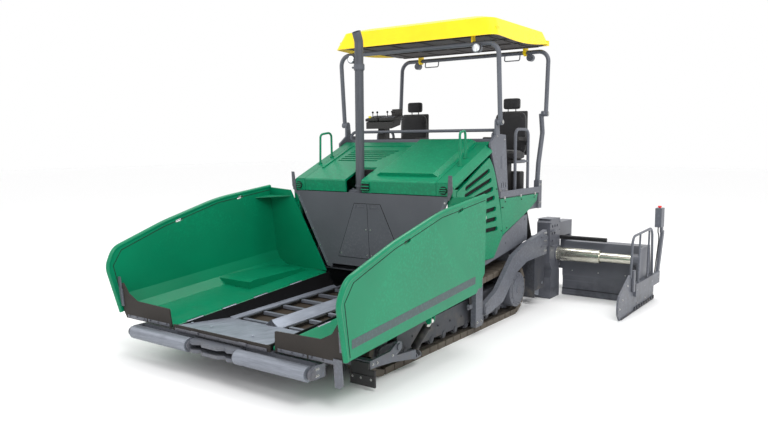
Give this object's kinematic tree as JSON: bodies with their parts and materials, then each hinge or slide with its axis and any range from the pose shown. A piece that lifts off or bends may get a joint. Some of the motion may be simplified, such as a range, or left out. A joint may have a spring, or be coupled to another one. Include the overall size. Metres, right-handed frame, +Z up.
{
  "type": "tracked asphalt paver",
  "caption": "Tracked asphalt paver with folding hopper wings, push rollers, a sloping hood, a canopy over the operator's stand, and an extending screed on tow arms.",
  "frame": {"origin": "on the ground, midway between both ends and both sides", "axes": "+Z up, front towards -Y, the machine's left towards +X"},
  "size_m": [5.1326, 6.846, 3.957],
  "materials": {
    "green_paint": "semi gloss",
    "grey_paint": "satin",
    "dark_grey_paint": "satin",
    "worn_steel": "worn",
    "track_rubber": "matt",
    "apron_rubber": "matt",
    "yellow_plastic": "gloss",
    "black_plastic": "matt",
    "black_metal": "satin",
    "chrome_rod": "polished",
    "exhaust_steel": "dull",
    "seat_cover": "matt",
    "engine_grey": "matt"
  },
  "bodies": {
    "machine": {"track_left": "track_rubber", "track_right": "track_rubber", "track_frames": "black_metal", "auger_frame": "black_metal", "chassis_frame": "black_metal", "chassis_sides": "black_metal", "tie_down_eyes": "black_metal", "console": "black_plastic", "stand_rails": "grey_paint", "final_drives": "grey_paint", "track_guards": "grey_paint", "tow_brackets": "grey_paint", "shield": "dark_grey_paint", "rear_frame": "grey_paint", "platform": "grey_paint", "side_sheets": "grey_paint", "track_flaps": "apron_rubber", "centre_apron": "apron_rubber", "hopper_floor": "worn_steel", "conveyor_left": "worn_steel", "conveyor_right": "worn_steel", "hood_frame": "green_paint", "rear_panels": "green_paint", "seats": "seat_cover", "engine_block": "engine_grey", "exhaust": "exhaust_steel"},
    "wing_left": {"wing_left": "green_paint", "wing_apron_left": "apron_rubber"},
    "push_roller_left": {"push_roller_left": "worn_steel"},
    "side_door_left": {"side_door_left": "green_paint"},
    "auger_left": {"auger_left": "worn_steel"},
    "extension_left": {"extension_left": "grey_paint", "side_plate_left": "grey_paint"},
    "lift_barrel_left": {"lift_barrel_left": "black_metal"},
    "lift_rod_left": {"lift_rod_left": "chrome_rod"},
    "fold_barrel_left": {"fold_barrel_left": "black_metal"},
    "fold_stage_left": {"fold_stage_left": "black_metal"},
    "fold_rod_left": {"fold_rod_left": "chrome_rod"},
    "wing_right": {"wing_right": "green_paint", "wing_apron_right": "apron_rubber"},
    "push_roller_right": {"push_roller_right": "worn_steel"},
    "side_door_right": {"side_door_right": "green_paint"},
    "auger_right": {"auger_right": "worn_steel"},
    "extension_right": {"extension_right": "grey_paint", "side_plate_right": "grey_paint"},
    "lift_barrel_right": {"lift_barrel_right": "black_metal"},
    "lift_rod_right": {"lift_rod_right": "chrome_rod"},
    "fold_barrel_right": {"fold_barrel_right": "black_metal"},
    "fold_stage_right": {"fold_stage_right": "black_metal"},
    "fold_rod_right": {"fold_rod_right": "chrome_rod"},
    "push_beam": {"push_beam": "grey_paint"},
    "hood_lid": {"hood_lid": "green_paint"},
    "front_arch": {"front_arch": "grey_paint"},
    "rear_arch": {"rear_arch": "grey_paint"},
    "roof": {"roof": "yellow_plastic", "roof_liner": "black_plastic"},
    "screed": {"screed_main": "grey_paint", "tow_arm_left": "grey_paint", "tow_arm_right": "grey_paint", "walkway": "grey_paint"}
  },
  "joints": [
    {"name": "wing_left_tilt", "type": "hinge", "parent": "machine", "child": "wing_left", "pos_m": [0.7, -0.81812, 0.62407], "axis": [0, -0.9969, -0.0785], "range_deg": [0, 50]},
    {"name": "fold_barrel_left_swing", "type": "hinge", "parent": "machine", "child": "fold_barrel_left", "pos_m": [1.31, -1.78514, 0.16579], "axis": [0, -0.9969, -0.0785], "range_deg": [0, 36]},
    {"name": "fold_stage_left_slide", "type": "slide", "parent": "fold_barrel_left", "child": "fold_stage_left", "axis": [0.5445, -0.0658, 0.8362], "range_m": [0, 0.294]},
    {"name": "fold_rod_left_slide", "type": "slide", "parent": "fold_stage_left", "child": "fold_rod_left", "axis": [0.5445, -0.0658, 0.8362], "range_m": [0, 0.294]},
    {"name": "push_roller_left_spin", "type": "hinge", "parent": "push_beam", "child": "push_roller_left", "pos_m": [0.795, -3.35, 0.33], "axis": [1, 0, 0], "continuous": true},
    {"name": "side_door_left_hinge", "type": "hinge", "parent": "machine", "child": "side_door_left", "pos_m": [1.222, -0.722, 1.3], "axis": [0, 0, -1], "range_deg": [0, 80]},
    {"name": "auger_left_spin", "type": "hinge", "parent": "machine", "child": "auger_left", "pos_m": [0.65, 1.77, 0.3], "axis": [1, 0, 0], "continuous": true},
    {"name": "extension_left_slide", "type": "slide", "parent": "screed", "child": "extension_left", "axis": [-1, 0, 0], "range_m": [0, 1.19]},
    {"name": "lift_barrel_left_swing", "type": "hinge", "parent": "machine", "child": "lift_barrel_left", "pos_m": [0.96, 1.69, 1.5], "axis": [1, 0, 0], "range_deg": [0, 6.3]},
    {"name": "lift_rod_left_slide", "type": "slide", "parent": "lift_barrel_left", "child": "lift_rod_left", "axis": [0, 0.4018, -0.9157], "range_m": [-0.345, 0]},
    {"name": "wing_right_tilt", "type": "hinge", "parent": "machine", "child": "wing_right", "pos_m": [-0.7, -0.81812, 0.62407], "axis": [0, 0.9969, 0.0785], "range_deg": [0, 50]},
    {"name": "fold_barrel_right_swing", "type": "hinge", "parent": "machine", "child": "fold_barrel_right", "pos_m": [-1.31, -1.78514, 0.16579], "axis": [0, 0.9969, 0.0785], "range_deg": [0, 36]},
    {"name": "fold_stage_right_slide", "type": "slide", "parent": "fold_barrel_right", "child": "fold_stage_right", "axis": [-0.5445, -0.0658, 0.8362], "range_m": [0, 0.294]},
    {"name": "fold_rod_right_slide", "type": "slide", "parent": "fold_stage_right", "child": "fold_rod_right", "axis": [-0.5445, -0.0658, 0.8362], "range_m": [0, 0.294]},
    {"name": "push_roller_right_spin", "type": "hinge", "parent": "push_beam", "child": "push_roller_right", "pos_m": [-0.795, -3.35, 0.33], "axis": [1, 0, 0], "continuous": true},
    {"name": "side_door_right_hinge", "type": "hinge", "parent": "machine", "child": "side_door_right", "pos_m": [-1.222, -0.722, 1.3], "axis": [0, 0, 1], "range_deg": [0, 80]},
    {"name": "auger_right_spin", "type": "hinge", "parent": "machine", "child": "auger_right", "pos_m": [-0.65, 1.77, 0.3], "axis": [1, 0, 0], "continuous": true},
    {"name": "extension_right_slide", "type": "slide", "parent": "screed", "child": "extension_right", "axis": [1, 0, 0], "range_m": [0, 1.19]},
    {"name": "lift_barrel_right_swing", "type": "hinge", "parent": "machine", "child": "lift_barrel_right", "pos_m": [-0.96, 1.69, 1.5], "axis": [1, 0, 0], "range_deg": [0, 6.3]},
    {"name": "lift_rod_right_slide", "type": "slide", "parent": "lift_barrel_right", "child": "lift_rod_right", "axis": [0, 0.4018, -0.9157], "range_m": [-0.345, 0]},
    {"name": "push_beam_swivel", "type": "hinge", "parent": "machine", "child": "push_beam", "pos_m": [0, -3.08, 0.33], "axis": [0, 0, 1], "range_deg": [-7, 7]},
    {"name": "hood_lid_hinge", "type": "hinge", "parent": "machine", "child": "hood_lid", "pos_m": [0, 0.222, 2.318], "axis": [-1, 0, 0], "range_deg": [0, 55]},
    {"name": "rear_arch_fold", "type": "hinge", "parent": "machine", "child": "rear_arch", "pos_m": [0, 1.8, 2.75], "axis": [-1, 0, 0], "range_deg": [0, 50]},
    {"name": "front_arch_fold", "type": "hinge", "parent": "machine", "child": "front_arch", "pos_m": [0, 0.335, 2.6], "axis": [-1, 0, 0], "range_deg": [0, 41]},
    {"name": "roof_hinge", "type": "hinge", "parent": "rear_arch", "child": "roof", "pos_m": [0, 1.862, 3.64], "axis": [-1, 0, 0], "range_deg": [-44, 0]},
    {"name": "screed_lift", "type": "hinge", "parent": "machine", "child": "screed", "pos_m": [0, -0.135, 0.265], "axis": [1, 0, 0], "range_deg": [0, 9]}
  ],
  "couplings": [
    {"joint": "fold_barrel_left_swing", "follows": "wing_left_tilt", "ratio": 0.7187},
    {"joint": "fold_stage_left_slide", "follows": "wing_left_tilt", "m_per_rad": 0.33566},
    {"joint": "fold_rod_left_slide", "follows": "wing_left_tilt", "m_per_rad": 0.33566},
    {"joint": "lift_barrel_left_swing", "follows": "screed_lift", "ratio": 0.68888},
    {"joint": "lift_rod_left_slide", "follows": "screed_lift", "m_per_rad": -2.1842},
    {"joint": "fold_barrel_right_swing", "follows": "wing_right_tilt", "ratio": 0.7187},
    {"joint": "fold_stage_right_slide", "follows": "wing_right_tilt", "m_per_rad": 0.33566},
    {"joint": "fold_rod_right_slide", "follows": "wing_right_tilt", "m_per_rad": 0.33566},
    {"joint": "lift_barrel_right_swing", "follows": "screed_lift", "ratio": 0.68888},
    {"joint": "lift_rod_right_slide", "follows": "screed_lift", "m_per_rad": -2.1842},
    {"joint": "front_arch_fold", "follows": "rear_arch_fold", "ratio": 0.81323},
    {"joint": "roof_hinge", "follows": "rear_arch_fold", "ratio": -0.87343}
  ]
}
